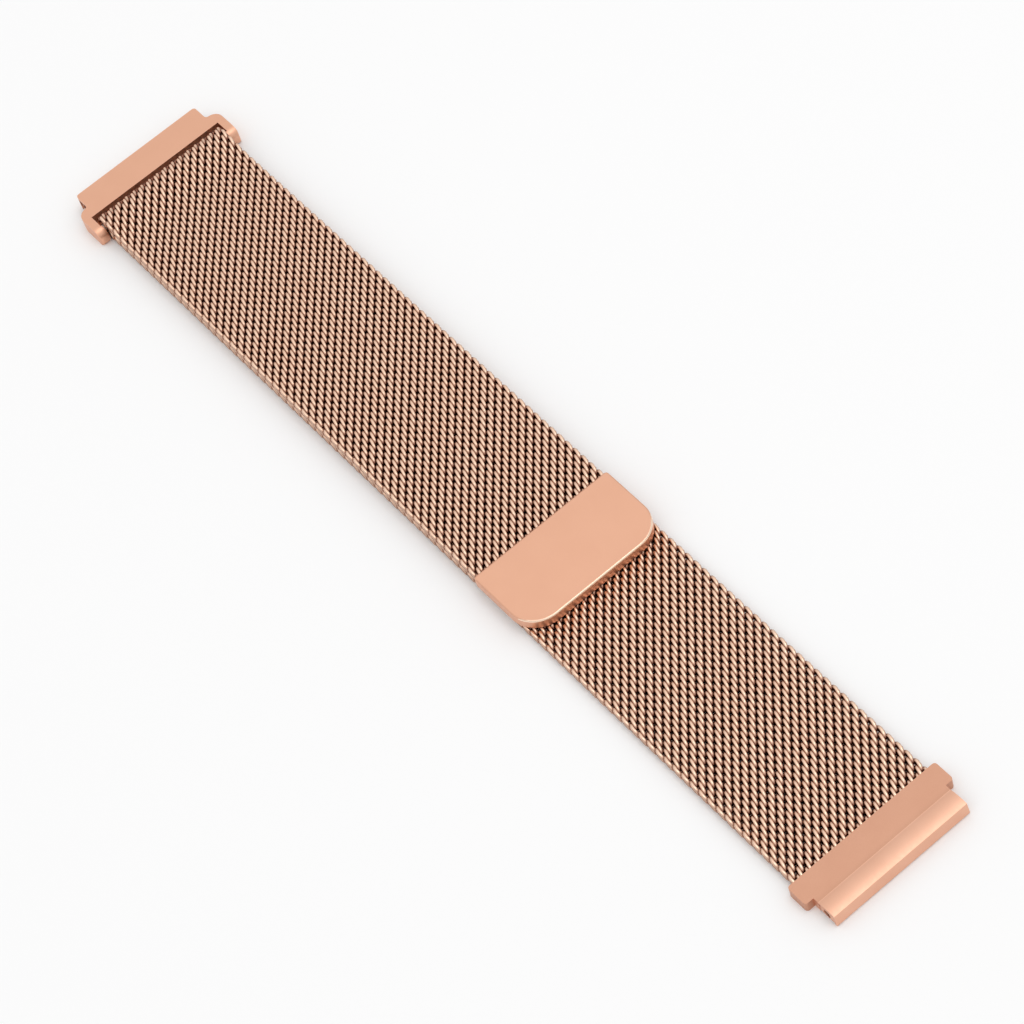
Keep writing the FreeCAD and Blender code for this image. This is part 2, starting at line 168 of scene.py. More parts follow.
@dataclass(frozen=True)
class SteelFinish:
    """A stainless steel surface, bare or plated, with fine scratches or blasting.

    Attributes:
        name: The material's name.
        colour: Plating colour as sRGB hex, which is the tint of a metal's reflection.
        deep_colour: Colour of the slightly thinner or dirtier plating between the grain.
        roughness: How wide the reflection spreads.
        roughness_spread: How much the grain changes that.
        grain_mm: Width of one scratch or pit.
        stretch: How much longer than wide a mark is, along X, Y and Z.
        relief_mm: Depth of the marks, drawn deeper than real so that they show.
        painted_shade_colour: Painted shade's colour where the wire's rise attribute is low, or none
            if it is even.
        painted_shade_from: Height, as a share of the band's half thickness, where the full painted
            shade ends.
        painted_shade_to: Height where the surface has its own colour in full, free of painted
            shade.
    """

    name: str
    colour: str
    deep_colour: str
    roughness: float
    roughness_spread: float
    grain_mm: float
    stretch: tuple[float, float, float] = (1.0, 1.0, 1.0)
    relief_mm: float = 0.002
    painted_shade_colour: str | None = None
    painted_shade_from: float = 0.5
    painted_shade_to: float = 0.9

    def material(self) -> bpy.types.Material:
        """Builds the node material.

        Returns:
            The material, which reads Object coordinates.
        """
        material = bpy.data.materials.new(self.name)
        material.use_nodes = True
        tree = material.node_tree
        tree.nodes.clear()
        add = partial(add_node, tree)
        place = add("ShaderNodeTexCoord")
        marks = tuple(1 / (self.grain_mm * MM * s) for s in self.stretch)
        mapped = add(
            "ShaderNodeMapping", inputs={"Vector": place.outputs["Object"], "Scale": marks}
        ).outputs["Vector"]
        grain = add(
            "ShaderNodeTexNoise",
            inputs={"Vector": mapped, "Scale": 1.0, "Detail": 3.0, "Roughness": 0.6},
        ).outputs["Fac"]
        drift = add(
            "ShaderNodeTexNoise",
            inputs={"Vector": place.outputs["Object"], "Scale": 1 / DRIFT, "Detail": 2.0},
        )
        shade = add(
            "ShaderNodeMix",
            {"data_type": "RGBA"},
            {
                "Factor": drift.outputs["Fac"],
                "A": linear(self.colour),
                "B": linear(self.deep_colour),
            },
        )
        colour = shade.outputs["Result"]
        # painted shade: the wire's colour darkens where it lies deep in the weave and at the band's
        # edges
        if self.painted_shade_colour:
            colour = self.paint_shade_in_recesses(tree, colour)
        rough = add(
            "ShaderNodeMapRange",
            inputs={
                "Value": grain,
                "From Min": GRAIN_LOW,
                "From Max": GRAIN_HIGH,
                "To Min": self.roughness - self.roughness_spread,
                "To Max": self.roughness + self.roughness_spread,
            },
        )
        relief = add(
            "ShaderNodeBump",
            inputs={"Height": grain, "Strength": 1.0, "Distance": self.relief_mm * MM},
        )
        steel = add(
            "ShaderNodeBsdfPrincipled",
            inputs={
                "Base Color": colour,
                "Metallic": 1.0,
                "Roughness": rough.outputs["Result"],
                "Normal": relief.outputs["Normal"],
            },
        )
        add("ShaderNodeOutputMaterial", inputs={"Surface": steel.outputs["BSDF"]})
        return material

    def paint_shade_in_recesses(
        self, tree: bpy.types.NodeTree, colour: bpy.types.NodeSocket
    ) -> bpy.types.NodeSocket:
        """Mixes in painted shade, a dark brown, where the wire lies deep in the weave and at the
        band's edges.

        Args:
            tree: The material's node tree.
            colour: The colour of the wire where it is exposed.

        Returns:
            The mixed colour.
        """
        add = partial(add_node, tree)
        rise = add("ShaderNodeAttribute", {"attribute_name": "wire_rise"})
        exposed = add(
            "ShaderNodeMapRange",
            {"interpolation_type": "SMOOTHSTEP"},
            {
                "Value": rise.outputs["Fac"],
                "From Min": self.painted_shade_from,
                "From Max": self.painted_shade_to,
            },
        )
        mixed = add(
            "ShaderNodeMix",
            {"data_type": "RGBA"},
            {"Factor": exposed.outputs["Result"], "A": linear(self.painted_shade_colour), "B": colour},
        )
        return mixed.outputs["Result"]


# Rose-gold ion plating on bead-blasted stainless steel: a soft, even, slightly pink metal sheen.
BLASTED_ROSE = SteelFinish(
    name="bead_blasted_rose_gold_plated_steel",
    colour="#EAB598",
    deep_colour="#E5AF92",
    roughness=0.4,
    roughness_spread=0.05,
    grain_mm=0.13,
    relief_mm=0.012,
)
# The same plating on the fixed end's plateau, blasted rougher, in a darker colour: painted shade.
MATTE_PAINTED_SHADE_ROSE = SteelFinish(
    name="matte_blasted_rose_gold_painted_shade",
    colour="#D3A187",
    deep_colour="#CD9A80",
    roughness=0.46,
    roughness_spread=0.05,
    grain_mm=0.14,
    relief_mm=0.014,
)
# The same plating over steel with lengthwise brush marks, as on the crowned tongue: a silky band
# of light, in a colour paler than the plating's own: painted highlight.
BRUSHED_PAINTED_HIGHLIGHT_ROSE = SteelFinish(
    name="brushed_rose_gold_painted_highlight",
    colour="#F0BFA4",
    deep_colour="#E8B397",
    roughness=0.43,
    roughness_spread=0.06,
    grain_mm=0.1,
    stretch=(6.0, 1.0, 1.0),
    relief_mm=0.008,
)
# The same plating on the clasp's rounded front edge, glossier, in a colour paler than the
# plating's own: painted highlight.
PAINTED_HIGHLIGHT_ROSE = SteelFinish(
    name="painted_highlight_rose_gold_plated_edge",
    colour="#FFE6D0",
    deep_colour="#FFDDC2",
    roughness=0.24,
    roughness_spread=0.05,
    grain_mm=0.12,
    relief_mm=0.004,
)
# Drawn wire under the same plating, smooth and bright, and dark brown where it lies deep between
# the spirals and at the band's edges: painted shade.
DRAWN_WIRE_ROSE = SteelFinish(
    name="drawn_rose_gold_plated_wire",
    colour="#FFDDC4",
    deep_colour="#F9D0B5",
    roughness=0.25,
    roughness_spread=0.04,
    grain_mm=0.05,
    relief_mm=0.0015,
    painted_shade_colour="#8A5A48",
    painted_shade_from=0.42,
    painted_shade_to=0.96,
)
# Unplated stainless steel of the crossbar, the clamp bars and the yoke: grey, with turning marks.
BARE_STEEL = SteelFinish(
    name="turned_stainless_steel",
    colour="#B9B6B2",
    deep_colour="#A5A19C",
    roughness=0.3,
    roughness_spread=0.06,
    grain_mm=0.04,
    stretch=(1.0, 12.0, 1.0),
)
# Nickel plating on a sintered magnet: bright, a little grey.
NICKEL = SteelFinish(
    name="nickel_plated_magnet",
    colour="#C9C6BD",
    deep_colour="#B8B4AA",
    roughness=0.22,
    roughness_spread=0.04,
    grain_mm=0.08,
)


# ---------------------------------------------------------------- mesh helpers


def arc(centre: Point, radius: float, start: float, end: float, steps: int) -> list[Point]:
    """Points along a round stretch of an outline.

    Args:
        centre: The arc's centre.
        radius: Its radius.
        start: Angle of the first point, in degrees.
        end: Angle of the last point, in degrees.
        steps: How many straight pieces the arc has.

    Returns:
        The points, in order from start to end.
    """
    points = []
    for i in range(steps + 1):
        angle = math.radians(start + (end - start) * i / steps)
        points.append((centre[0] + radius * math.cos(angle), centre[1] + radius * math.sin(angle)))
    return points


class Along(Enum):
    """The axis that an outline is pushed along."""

    ACROSS = "Y"
    UP = "Z"


class Operation(Enum):
    """What a tool solid does to a piece."""

    ADD = "UNION"
    CUT = "DIFFERENCE"
    KEEP = "INTERSECT"


def prism(
    name: str, outline: Sequence[Point], along: Along, low: float, high: float
) -> bpy.types.Object:
    """A closed solid with a flat outline and straight sides.

    Args:
        name: The object's name.
        outline: Corners in (x, z) for ACROSS, or in (x, y) for UP.
        along: The axis along which the outline is pushed.
        low: Where the solid starts on that axis.
        high: Where it ends.

    Returns:
        The new object, at the origin.
    """
    mesh = bmesh.new()
    for level in (low, high):
        for a, b in outline:
            mesh.verts.new((a, level, b) if along is Along.ACROSS else (a, b, level))
    mesh.verts.ensure_lookup_table()
    count = len(outline)
    lower, upper = mesh.verts[:count], mesh.verts[count:]
    mesh.faces.new(lower)
    mesh.faces.new(upper)
    for i in range(count):
        j = (i + 1) % count
        mesh.faces.new((lower[i], lower[j], upper[j], upper[i]))
    bmesh.ops.recalc_face_normals(mesh, faces=mesh.faces)
    data = bpy.data.meshes.new(name)
    mesh.to_mesh(data)
    mesh.free()
    solid = bpy.data.objects.new(name, data)
    bpy.context.scene.collection.objects.link(solid)
    return solid


def apply_modifiers(piece: bpy.types.Object) -> None:
    """Replaces a piece's mesh by its modified one and removes the modifiers.

    Args:
        piece: The piece.
    """
    graph = bpy.context.evaluated_depsgraph_get()
    data = bpy.data.meshes.new_from_object(piece.evaluated_get(graph))
    piece.modifiers.clear()
    piece.data = data


def combine(piece: bpy.types.Object, tool: bpy.types.Object, operation: Operation) -> None:
    """Changes a piece by a tool solid, and deletes the tool.

    Args:
        piece: The solid that is changed.
        tool: The solid that is added, taken away or kept to.
        operation: Which of these is done.
    """
    boolean = piece.modifiers.new("combine", "BOOLEAN")
    boolean.operation = operation.value
    boolean.solver = "EXACT"
    boolean.object = tool
    bpy.context.view_layer.update()
    apply_modifiers(piece)
    bpy.data.objects.remove(tool)


def soften(piece: bpy.types.Object) -> None:
    """Rounds a formed cover's sharp edges and shades it smooth.

    Args:
        piece: The cover.
    """
    bevel = piece.modifiers.new("soften", "BEVEL")
    bevel.width = EDGE_ROUND
    bevel.segments = ROUND_FACES
    bevel.limit_method = "ANGLE"
    bevel.angle_limit = math.radians(ROUND_ANGLE)
    bevel.harden_normals = False
    bevel.use_clamp_overlap = True
    bpy.context.view_layer.update()
    apply_modifiers(piece)
    shade(piece)


def shade(piece: bpy.types.Object, angle: float = 40.0) -> None:
    """Shades a piece smooth between its sharp edges.

    Args:
        piece: The piece.
        angle: Edges where faces meet at more than this many degrees stay sharp.
    """
    mesh = bmesh.new()
    mesh.from_mesh(piece.data)
    limit = math.radians(angle)
    for face in mesh.faces:
        face.smooth = True
    for edge in mesh.edges:
        edge.smooth = len(edge.link_faces) == 2 and edge.calc_face_angle(0.0) < limit
    mesh.to_mesh(piece.data)
    mesh.free()
    even = piece.modifiers.new("even_normals", "WEIGHTED_NORMAL")
    even.keep_sharp = True
    bpy.context.view_layer.update()
    apply_modifiers(piece)


def dress(piece: bpy.types.Object, *materials: bpy.types.Material) -> None:
    """Gives a piece its materials.

    Args:
        piece: The piece.
        materials: Its materials, in the order of the faces' material numbers.
    """
    piece.data.materials.clear()
    for material in materials:
        piece.data.materials.append(material)


def joint_place(frame: dict[str, Any], name: str) -> Vector:
    """The point that a joint of the frame turns about."""
    joint = next(j for j in frame["joints"] if j["name"] == name)
    return Vector(joint["pos_m"])


# ---------------------------------------------------------------- woven band


@dataclass
class BandRoute:
    """The line that the band follows, from places of the frame.

    Attributes:
        bar: The crossbar's centre.
        turn_radius: Radius of the band's middle where it turns round the crossbar.
        flap_drop: How far the flap comes down from the turn's top to lie on the under strand.
        hump_length: The length over which it comes down.
    """

    bar: Vector
    turn_radius: float
    flap_drop: float
    hump_length: float = 6.5 * MM

    @property
    def turn_length(self) -> float:
        """Length of the half turn round the crossbar."""
        return math.pi * self.turn_radius

    def under(self, x: float) -> float:
        """Run of a place on the under strand, which counts back from the crossbar."""
        return self.bar.x - x

    def flap(self, x: float) -> float:
        """Run of a place on the flap, which counts on from the turn."""
        return self.turn_length + x - self.bar.x


# Inputs of the weave's node tree, which its formulas name in small letters with underscores.
WEAVE_COUNTS = ("First Row", "Rows", "Points", "Turn Steps", "Wire Sides")
WEAVE_SIZES = (
    *("Row Spacing", "Pitch", "Half Width", "Half Run", "Half Length", "Half Height", "Flatness"),
    *("Thickness", "Wire Radius", "Bar X", "Bar Z", "Turn Radius", "Flap Drop", "Hump Length"),
)
# What the wire's middle line hands on to the wire's surface.
CARRIED = {"wire_middle": "FLOAT_VECTOR", "wire_outward": "FLOAT_VECTOR", "wire_height": "FLOAT"}
# The weave: where each point of the wire's middle goes.
WEAVE: Formula = (
    # which turn of the spiral a point is on, and the spiral's place in the band
    ("turn", "DIVIDE", "index", "turn_steps"),
    ("number", "ADD", "row", "first_row"),
    ("odd", "FLOORED_MODULO", "number", 2.0),
    ("half_turn", "MULTIPLY", "odd", 0.5),
    ("turned", "ADD", "turn", "half_turn"),
    ("angle", "MULTIPLY", "turned", math.tau),
    # the flattened spiral: along the strap, out from it, and across it
    ("along", "COSINE", "angle", None),
    ("out", "SINE", "angle", None),
    ("angle_3", "MULTIPLY", "angle", 3.0),
    ("ripple", "SINE", "angle_3", None),
    ("flatten", "MULTIPLY", "ripple", "flatness"),
    ("out_flat", "ADD", "out", "flatten"),
    ("height", "MULTIPLY", "out_flat", "half_height"),
    ("reach", "MULTIPLY", "along", "half_length"),
    ("row_place", "MULTIPLY", "number", "row_spacing"),
    ("run", "ADD", "row_place", "reach"),
    ("advance", "MULTIPLY", "turn", "pitch"),
    ("free_y", "SUBTRACT", "advance", "half_run"),
    ("left_y", "MULTIPLY", "half_width", -1.0),
    ("low_y", "MAXIMUM", "free_y", "left_y"),
    ("y", "MINIMUM", "low_y", "half_width"),
    # the route: under strand before run 0, half a turn round the crossbar, then the flap
    ("turn_length", "MULTIPLY", "turn_radius", math.pi),
    ("before", "MINIMUM", "run", 0.0),
    ("past", "SUBTRACT", "run", "turn_length"),
    ("beyond", "MAXIMUM", "past", 0.0),
    ("from_start", "MAXIMUM", "run", 0.0),
    ("on_turn", "MINIMUM", "from_start", "turn_length"),
    ("bend", "DIVIDE", "on_turn", "turn_radius"),
    ("radius", "ADD", "turn_radius", "height"),
    ("sine", "SINE", "bend", None),
    ("cosine", "COSINE", "bend", None),
    ("inward", "MULTIPLY", "radius", "sine"),
    ("upward", "MULTIPLY", "radius", "cosine"),
    ("straight", "SUBTRACT", "beyond", "before"),
    ("offset", "SUBTRACT", "straight", "inward"),
    ("x", "ADD", "bar_x", "offset"),
    # the flap eases down on to the under strand
    ("share", "DIVIDE", "beyond", "hump_length"),
    ("down", "MINIMUM", "share", 1.0),
    ("down_2", "MULTIPLY", "down", "down"),
    ("ease", "MULTIPLY", "down", -2.0),
    ("ease_3", "ADD", "ease", 3.0),
    ("eased", "MULTIPLY", "down_2", "ease_3"),
    ("drop", "MULTIPLY", "eased", "flap_drop"),
    ("level", "SUBTRACT", "bar_z", "upward"),
    ("z", "SUBTRACT", "level", "drop"),
    # the way out of the band
    ("minus_sine", "MULTIPLY", "sine", -1.0),
    ("minus_cosine", "MULTIPLY", "cosine", -1.0),
)
# How far a point of the wire's surface is from the band's middle, as a share of half the
# thickness, and how far it is past the wire's middle at an edge of the band: the painted shade's
# mask.
RISE: Formula = (
    ("surface_height", "ADD", "outward", "wire_height"),
    ("share", "DIVIDE", "surface_height", "thickness"),
    ("rise", "ABSOLUTE", "share", None),
    ("both_faces", "MULTIPLY", "rise", 2.0),
    ("aside", "ABSOLUTE", "across", None),
    ("past_edge", "SUBTRACT", "aside", "half_width"),
)


@dataclass
class WovenBand:
    """Flattened wire spirals across the strap, each threaded through its neighbours.

    Attributes:
        route: The line that the band follows.
        width: Width of the band over the wires.
        thickness: Thickness of the band over the wires.
        pitch: Distance between two turns of a spiral.
        row_spacing: Distance between two spirals.
        wire_radius: Radius of the wire.
        half_length: Half the length of a turn along the strap, to the wire's middle.
        flatness: How much a turn's top and bottom are pressed flat.
        edge_turns: How much of a turn lies flat along each edge, where the ends are welded.
        edge_shade_rise: Wire rise of the band's edges, where 1 gives them as little painted shade
            as its faces.
        turn_steps: Straight pieces in one turn.
        wire_sides: Faces round the wire.
        tree: The node tree, once it is built.
    """

    route: BandRoute
    width: float
    thickness: float
    pitch: float = 1.406 * MM
    row_spacing: float = 0.839 * MM
    wire_radius: float = 0.265 * MM
    edge_turns: float = 0.25
    half_length: float = 0.9 * MM
    flatness: float = -0.05
    edge_shade_rise: float = 0.72
    turn_steps: int = 16
    wire_sides: int = 7
    tree: bpy.types.NodeTree | None = field(default=None, repr=False)

    def build_tree(self) -> bpy.types.NodeTree:
        """Builds the node tree that weaves a stretch of band.

        Returns:
            The tree, with the sizes as named inputs.
        """
        tree = bpy.data.node_groups.new("weave_band", "GeometryNodeTree")
        add = partial(add_node, tree)
        tree.interface.new_socket("Geometry", in_out="OUTPUT", socket_type="NodeSocketGeometry")
        for name in WEAVE_COUNTS:
            tree.interface.new_socket(name, in_out="INPUT", socket_type="NodeSocketInt")
        for name in WEAVE_SIZES:
            tree.interface.new_socket(name, in_out="INPUT", socket_type="NodeSocketFloat")
        tree.interface.new_socket("Material", in_out="INPUT", socket_type="NodeSocketMaterial")
        given = add("NodeGroupInput").outputs
        line = add("GeometryNodeMeshLine", {"mode": "OFFSET"}, {"Count": given["Points"]})
        curve = add("GeometryNodeMeshToCurve", inputs={"Mesh": line.outputs["Mesh"]})
        rows = add(
            "GeometryNodeDuplicateElements",
            {"domain": "SPLINE"},
            {"Geometry": curve.outputs["Curve"], "Amount": given["Rows"]},
        )
        along = add("GeometryNodeSplineParameter")
        values = {
            name.lower().replace(" ", "_"): given[name] for name in (*WEAVE_COUNTS, *WEAVE_SIZES)
        }
        values["index"] = along.outputs["Index"]
        values["row"] = rows.outputs["Duplicate Index"]
        compute(tree, values, WEAVE)
        place = add(
            "ShaderNodeCombineXYZ", inputs={"X": values["x"], "Y": values["y"], "Z": values["z"]}
        )
        woven = add(
            "GeometryNodeSetPosition",
            inputs={"Geometry": rows.outputs["Geometry"], "Position": place.outputs["Vector"]},
        )
        outward = add(
            "ShaderNodeCombineXYZ", inputs={"X": values["minus_sine"], "Z": values["minus_cosine"]}
        )
        handed_on = (place.outputs["Vector"], outward.outputs["Vector"], values["height"])
        carried = woven.outputs["Geometry"]
        for (name, kind), value in zip(CARRIED.items(), handed_on):
            store = add(
                "GeometryNodeStoreNamedAttribute",
                {"data_type": kind, "domain": "POINT"},
                {"Geometry": carried, "Name": name, "Value": value},
            )
            carried = store.outputs["Geometry"]
        section = add(
            "GeometryNodeCurvePrimitiveCircle",
            {"mode": "RADIUS"},
            {"Resolution": given["Wire Sides"], "Radius": given["Wire Radius"]},
        )
        wire = add(
            "GeometryNodeCurveToMesh",
            inputs={
                "Curve": carried,
                "Profile Curve": section.outputs["Curve"],
                "Fill Caps": True,
            },
        )
        risen = self.store_rise(tree, wire.outputs["Mesh"], values)
        smooth = add("GeometryNodeSetShadeSmooth", inputs={"Geometry": risen})
        real = add("GeometryNodeRealizeInstances", inputs={"Geometry": smooth.outputs["Geometry"]})
        finished = add(
            "GeometryNodeSetMaterial",
            inputs={"Geometry": real.outputs["Geometry"], "Material": given["Material"]},
        )
        add("NodeGroupOutput", inputs={"Geometry": finished.outputs["Geometry"]})
        self.tree = tree
        return tree

    def store_rise(
        self,
        tree: bpy.types.NodeTree,
        mesh: bpy.types.NodeSocket,
        sizes: dict[str, bpy.types.NodeSocket],
    ) -> bpy.types.NodeSocket:
        """Stores how far out each point of the wire's surface lies, the mask of its painted shade.

        Args:
            tree: The node tree.
            mesh: The wires' surface.
            sizes: The tree's inputs by name.

        Returns:
            The surface with the rise attribute that masks the painted shade, which is 1 at the
            band's faces.
        """
        add = partial(add_node, tree)
        values = dict(sizes)
        for name, kind in CARRIED.items():
            reader = add("GeometryNodeInputNamedAttribute", {"data_type": kind}, {"Name": name})
            values[name] = reader.outputs["Attribute"]
        place = add("GeometryNodeInputPosition").outputs["Position"]
        from_middle = add(
            "ShaderNodeVectorMath", {"operation": "SUBTRACT"}, {0: place, 1: values["wire_middle"]}
        )
        outward = add(
            "ShaderNodeVectorMath",
            {"operation": "DOT_PRODUCT"},
            {0: from_middle.outputs["Vector"], 1: values["wire_outward"]},
        )
        values["outward"] = outward.outputs["Value"]
        parts = add("ShaderNodeSeparateXYZ", inputs={"Vector": place})
        values["across"] = parts.outputs["Y"]
        compute(tree, values, RISE)
        edge = add(
            "ShaderNodeMapRange",
            inputs={
                "Value": values["past_edge"],
                "From Min": -self.wire_radius,
                "From Max": self.wire_radius,
                "To Max": self.edge_shade_rise,
            },
        )
        exposed = add(
            "ShaderNodeMath",
            {"operation": "MAXIMUM"},
            {0: values["both_faces"], 1: edge.outputs["Result"]},
        )
        stored = add(
            "GeometryNodeStoreNamedAttribute",
            {"data_type": "FLOAT", "domain": "POINT"},
            {"Geometry": mesh, "Name": "wire_rise", "Value": exposed.outputs["Value"]},
        )
        kept = stored.outputs["Geometry"]
        for name in CARRIED:
            dropped = add("GeometryNodeRemoveAttribute", inputs={"Geometry": kept, "Name": name})
            kept = dropped.outputs["Geometry"]
        return kept

    def stretch(
        self, name: str, start: float, end: float, material: bpy.types.Material
    ) -> bpy.types.Object:
        """Weaves the spirals whose place is between two runs of the route.

        Args:
            name: The piece's name.
            start: Run of the stretch's start.
            end: Run of its end, which is larger.
            material: The wire's material.

        Returns:
            The stretch as a plain mesh object.
        """
        tree = self.tree or self.build_tree()
        first = math.ceil(start / self.row_spacing)
        last = math.ceil(end / self.row_spacing)
        half_width = self.width / 2 - self.wire_radius
        turns = 2 * half_width / self.pitch + 2 * self.edge_turns
        points = round(turns * self.turn_steps) + 1
        sizes = {
            "First Row": first,
            "Rows": last - first,
            "Points": points,
            "Turn Steps": self.turn_steps,
            "Wire Sides": self.wire_sides,
            "Row Spacing": self.row_spacing,
            "Pitch": self.pitch,
            "Half Width": half_width,
            "Half Run": (points - 1) / self.turn_steps * self.pitch / 2,
            "Half Length": self.half_length,
            "Half Height": (self.thickness / 2 - self.wire_radius) / (1 - self.flatness),
            "Flatness": self.flatness,
            "Thickness": self.thickness,
            "Wire Radius": self.wire_radius,
            "Bar X": self.route.bar.x,
            "Bar Z": self.route.bar.z,
            "Turn Radius": self.route.turn_radius,
            "Flap Drop": self.route.flap_drop,
            "Hump Length": self.route.hump_length,
            "Material": material,
        }
        carrier = bpy.data.objects.new(name, bpy.data.meshes.new(name + "_carrier"))
        bpy.context.scene.collection.objects.link(carrier)
        modifier = carrier.modifiers.new("weave", "NODES")
        modifier.node_group = tree
        sockets = {s.name: s.identifier for s in tree.interface.items_tree if s.in_out == "INPUT"}
        for size_name, value in sizes.items():
            modifier[sockets[size_name]] = value
        bpy.context.view_layer.update()
        apply_modifiers(carrier)
        LOG.info("%s: %d spirals, %d faces", name, last - first, len(carrier.data.polygons))
        return carrier


@dataclass
class Band:
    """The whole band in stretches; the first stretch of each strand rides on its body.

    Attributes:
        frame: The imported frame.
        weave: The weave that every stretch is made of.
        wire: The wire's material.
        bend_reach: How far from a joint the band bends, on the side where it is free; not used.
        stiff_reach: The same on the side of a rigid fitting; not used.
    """

    frame: dict[str, Any]
    weave: WovenBand
    wire: bpy.types.Material
    bend_reach: float = 5.5 * MM
    stiff_reach: float = 0.7 * MM

    def build(self) -> None:
        """Weaves every stretch and ties the first of each strand to its body."""
        route = self.weave.route
        under = [joint_place(self.frame, "loop_swing").x]
        under += [joint_place(self.frame, f"mesh_bend_{i}").x for i in range(1, UNDER_BODIES)]
        under.append(joint_place(self.frame, "fixed_end_bend").x)
        middles = [(a + b) / 2 for a, b in zip(under, under[1:])]
        quarter = route.turn_length / 2
        # under strand
        piece = self.weave.stretch("woven_under_1", route.under(middles[0]), quarter, self.wire)
        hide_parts("under_mesh_1", "fold_mesh")
        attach(piece, "under_1")
        ends = [*middles[1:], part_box("fixed_end_cover")[0].x + TUCK]
        for i, (start, end) in enumerate(zip(middles, ends), start=1):
            piece = self.weave.stretch(
                f"woven_under_{i + 1}", route.under(end), route.under(start), self.wire
            )
            if i < UNDER_BODIES:
                # the clasp lies between the two bends that have a stiff side
                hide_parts(f"under_mesh_{i + 1}")
            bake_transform(piece)
        # flap
        piece = self.weave.stretch("woven_flap_1", quarter, route.flap(middles[0]), self.wire)
        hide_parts("flap_mesh_1")
        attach(piece, "flap_1")
        ends = [*middles[1:FLAP_BODIES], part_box("clasp_cover")[0].x + TUCK]
        for i, (start, end) in enumerate(zip(middles, ends), start=1):
            piece = self.weave.stretch(
                f"woven_flap_{i + 1}", route.flap(start), route.flap(end), self.wire
            )
            if i < FLAP_BODIES:
                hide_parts(f"flap_mesh_{i + 1}")
            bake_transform(piece)


# ---------------------------------------------------------------- fittings


